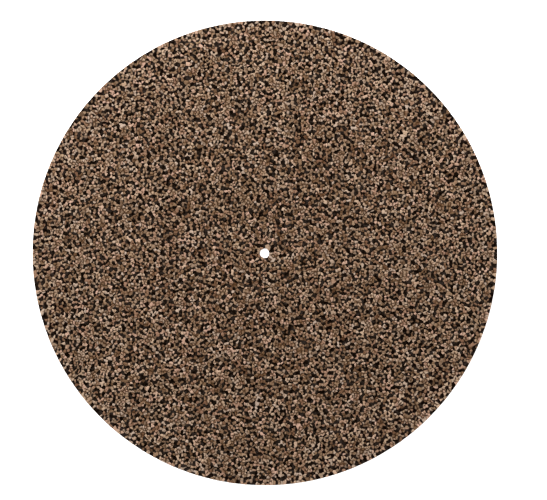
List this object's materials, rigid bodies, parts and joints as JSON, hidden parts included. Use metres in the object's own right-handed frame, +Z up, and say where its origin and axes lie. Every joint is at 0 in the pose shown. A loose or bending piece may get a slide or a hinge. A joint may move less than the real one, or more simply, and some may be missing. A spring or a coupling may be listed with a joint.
{
  "type": "turntable mat",
  "caption": "Flat round turntable mat of cork granules bound in black rubber, with a small centre hole for the record spindle. It lies loose on the platter, either side up.",
  "frame": {"origin": "centre of the spindle hole on the underside, the face that lies on the platter", "axes": "+Z up along the spindle axis, out of the record face; X and Y lie in the mat, which looks the same all round"},
  "size_m": [0.3, 0.3, 0.003],
  "materials": {
    "rubber": "matte, fine-textured cut rubber",
    "cork": "matte, open-pored cut cork"
  },
  "bodies": {
    "root": {"rubber_binder": "rubber", "cork_granule_01": "cork", "cork_granule_02": "cork", "cork_granule_03": "cork", "cork_granule_04": "cork", "cork_granule_05": "cork", "cork_granule_06": "cork", "cork_granule_07": "cork", "cork_granule_08": "cork", "cork_granule_09": "cork", "cork_granule_10": "cork", "cork_granule_11": "cork", "cork_granule_12": "cork", "cork_granule_13": "cork", "cork_granule_14": "cork", "cork_granule_15": "cork", "cork_granule_16": "cork", "cork_granule_17": "cork", "cork_granule_18": "cork", "cork_granule_19": "cork", "cork_granule_20": "cork", "cork_granule_21": "cork", "cork_granule_22": "cork", "cork_granule_23": "cork", "cork_granule_24": "cork", "cork_granule_25": "cork", "cork_granule_26": "cork", "cork_granule_27": "cork", "cork_granule_28": "cork", "cork_granule_29": "cork", "cork_granule_30": "cork", "cork_granule_31": "cork", "cork_granule_32": "cork", "cork_granule_33": "cork", "cork_granule_34": "cork", "cork_granule_35": "cork", "cork_granule_36": "cork", "cork_granule_37": "cork", "cork_granule_38": "cork", "cork_granule_39": "cork", "cork_granule_40": "cork", "cork_granule_41": "cork", "cork_granule_42": "cork", "cork_granule_43": "cork", "cork_granule_44": "cork", "cork_granule_45": "cork", "cork_granule_46": "cork", "cork_granule_47": "cork", "cork_granule_48": "cork"}
  },
  "joints": []
}
